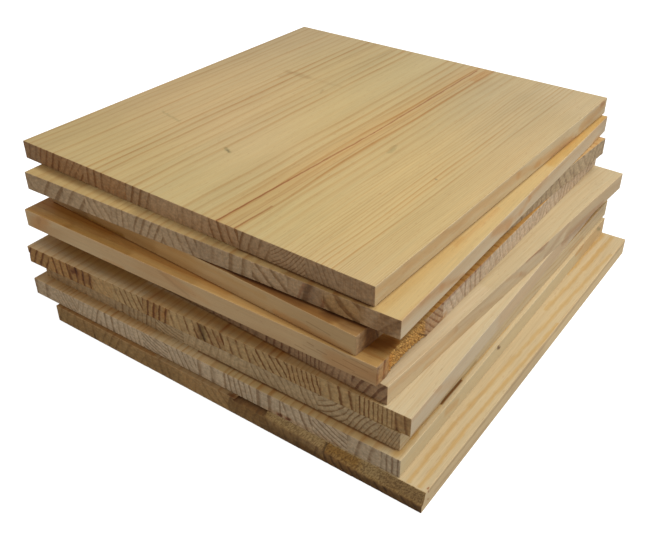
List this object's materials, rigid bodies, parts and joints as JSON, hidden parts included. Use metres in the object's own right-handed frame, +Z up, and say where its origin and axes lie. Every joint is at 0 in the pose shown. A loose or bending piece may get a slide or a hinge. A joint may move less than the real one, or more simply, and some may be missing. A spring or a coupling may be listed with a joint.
{
  "type": "stack of pine board offcuts",
  "caption": "Stack of square-cut pine panel offcuts lying flat and slightly askew on each other, for use as raw stock or to rest things on.",
  "frame": {"origin": "on the floor, in the middle of the whole stack's box", "axes": "+Z up; +X along the top board's front end towards its right edge; +Y from its front end to its back end, along its grain"},
  "size_m": [0.4732, 0.4718, 0.162],
  "materials": {
    "bottom_board_pine": "bare planed pine with broad orange latewood bands, front end torn and rough",
    "second_board_pine": "bare planed pine, pale, with sawn grey-brown end grain",
    "third_board_pine": "bare planed pine, golden, with sawn grey-brown end grain",
    "fourth_board_pine": "bare planed pine, pale, with coarse sawn end grain",
    "fifth_board_pine": "bare planed pine, rosy, with dark sawn end grain",
    "sixth_board_pine": "bare planed pine, honey, with one end grain edge torn near the front",
    "seventh_board_pine": "bare planed pine, tan long-grain front edge",
    "eighth_board_pine": "bare planed pine, pale yellow, with sawn grey-pink end grain",
    "top_board_pine": "bare planed and sanded pine, pale straw, with fine straight grain and one reddish streak"
  },
  "bodies": {
    "root": {"bottom_board": "bottom_board_pine", "second_board": "second_board_pine", "third_board": "third_board_pine", "fourth_board": "fourth_board_pine", "fifth_board": "fifth_board_pine", "sixth_board": "sixth_board_pine", "seventh_board": "seventh_board_pine", "eighth_board": "eighth_board_pine", "top_board": "top_board_pine"}
  },
  "joints": []
}
